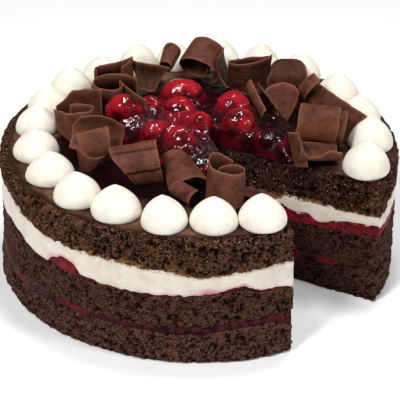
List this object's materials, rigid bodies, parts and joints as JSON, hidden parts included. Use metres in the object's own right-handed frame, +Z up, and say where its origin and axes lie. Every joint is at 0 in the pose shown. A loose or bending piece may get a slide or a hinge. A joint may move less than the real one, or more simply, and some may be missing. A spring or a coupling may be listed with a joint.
{
  "type": "black forest cake",
  "caption": "Round layered chocolate sponge cake with cherry and cream fillings, one slice taken out, topped with piped cream, glossy cherries and chocolate curls.",
  "frame": {"origin": "on the cake's round axis, at the flat underside", "axes": "+Z up; -Y towards the front, with the missing slice at the front right; +X to the right"},
  "size_m": [0.2223, 0.2198, 0.104],
  "materials": {
    "sponge": "dark chocolate sponge, coarse open crumb, dry to slightly moist",
    "cherry_jam": "wet cherry filling, crimson where lit, dark in the crumb",
    "cream": "whipped cream, smooth, soft sheen, warm white",
    "chocolate_glaze": "thin dark chocolate glaze, satin, soaked into the crumb at its rim",
    "cherry": "preserved cherries under syrup, wet and bright",
    "cherry_gel": "dark cherry gel, clear at thin edges, wet",
    "chocolate_curl": "shaved dark milk chocolate, satin faces, paler scraped edges"
  },
  "bodies": {
    "root": {"sponge_bottom": "sponge", "jam_lower": "cherry_jam", "sponge_middle": "sponge", "jam_upper": "cherry_jam", "cream_filling": "cream", "sponge_top": "sponge", "glaze": "chocolate_glaze", "cherry_gel": "cherry_gel", "dollop_01": "cream", "dollop_02": "cream", "dollop_03": "cream", "dollop_04": "cream", "dollop_05": "cream", "dollop_06": "cream", "dollop_07": "cream", "dollop_08": "cream", "dollop_09": "cream", "dollop_10": "cream", "dollop_11": "cream", "dollop_12": "cream", "dollop_13": "cream", "dollop_14": "cream", "dollop_15": "cream", "dollop_16": "cream", "dollop_17": "cream", "dollop_18": "cream", "dollop_19": "cream", "dollop_20": "cream", "cherry_01": "cherry", "cherry_02": "cherry", "cherry_03": "cherry", "cherry_04": "cherry", "cherry_05": "cherry", "cherry_06": "cherry", "cherry_07": "cherry", "cherry_08": "cherry", "cherry_09": "cherry", "cherry_10": "cherry", "curl_01": "chocolate_curl", "curl_02": "chocolate_curl", "curl_03": "chocolate_curl", "curl_04": "chocolate_curl", "curl_05": "chocolate_curl", "curl_06": "chocolate_curl", "curl_07": "chocolate_curl", "curl_08": "chocolate_curl", "curl_09": "chocolate_curl", "curl_10": "chocolate_curl", "curl_11": "chocolate_curl", "curl_12": "chocolate_curl", "curl_13": "chocolate_curl", "curl_14": "chocolate_curl", "curl_15": "chocolate_curl", "curl_16": "chocolate_curl", "curl_17": "chocolate_curl", "curl_18": "chocolate_curl", "curl_19": "chocolate_curl", "curl_20": "chocolate_curl", "curl_21": "chocolate_curl", "curl_22": "chocolate_curl"}
  },
  "joints": []
}
